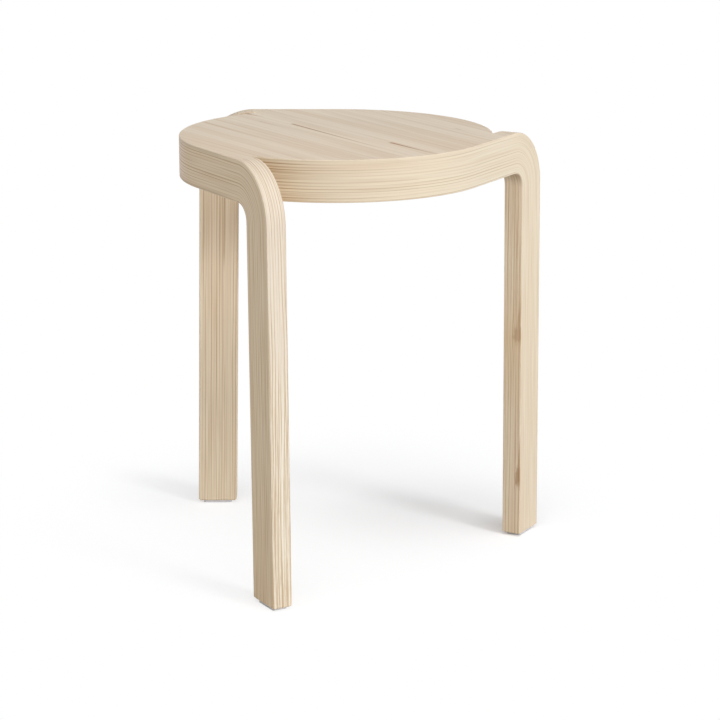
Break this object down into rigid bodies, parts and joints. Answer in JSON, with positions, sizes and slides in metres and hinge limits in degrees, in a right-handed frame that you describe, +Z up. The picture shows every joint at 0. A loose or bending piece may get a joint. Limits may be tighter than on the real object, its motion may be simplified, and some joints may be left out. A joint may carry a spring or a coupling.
{
  "type": "stacking stool",
  "caption": "Round laminated stool in form-pressed pine, with L-shaped legs that leave the seat's edge like the arms of a pinwheel so that stools stack in a spiral.",
  "frame": {"origin": "on the floor, at the middle of the object's outline in plan. The pinwheel isn't centred on its seat: the seat's axis stands at x = -27.9 mm, y = +27.0 mm", "axes": "+Z up, square to the seat. In plan, the arm of leg_1 points 60 degrees clockwise from +X, that of leg_2 60 degrees anticlockwise from +X, and that of leg_3 along -X. The picture looks roughly along +Y"},
  "size_m": [0.3758, 0.3742, 0.44],
  "materials": {
    "pine": "clear matt lacquer over pale laminated pine, lamination lines on the edges",
    "beech": "bare fluted dowel",
    "grey_plastic": "matt moulded plastic",
    "zinc_steel": "zinc-plated"
  },
  "bodies": {
    "root": {"seat_core": "pine", "seat_top_ply": "pine", "seat_bottom_ply": "pine", "leg_1": "pine", "dowel_1_1": "beech", "dowel_1_2": "beech", "dowel_1_3": "beech", "glide_1": "grey_plastic", "glide_screw_1_1": "zinc_steel", "glide_screw_1_2": "zinc_steel", "leg_2": "pine", "dowel_2_1": "beech", "dowel_2_2": "beech", "dowel_2_3": "beech", "glide_2": "grey_plastic", "glide_screw_2_1": "zinc_steel", "glide_screw_2_2": "zinc_steel", "leg_3": "pine", "dowel_3_1": "beech", "dowel_3_2": "beech", "dowel_3_3": "beech", "glide_3": "grey_plastic", "glide_screw_3_1": "zinc_steel", "glide_screw_3_2": "zinc_steel"}
  },
  "joints": []
}
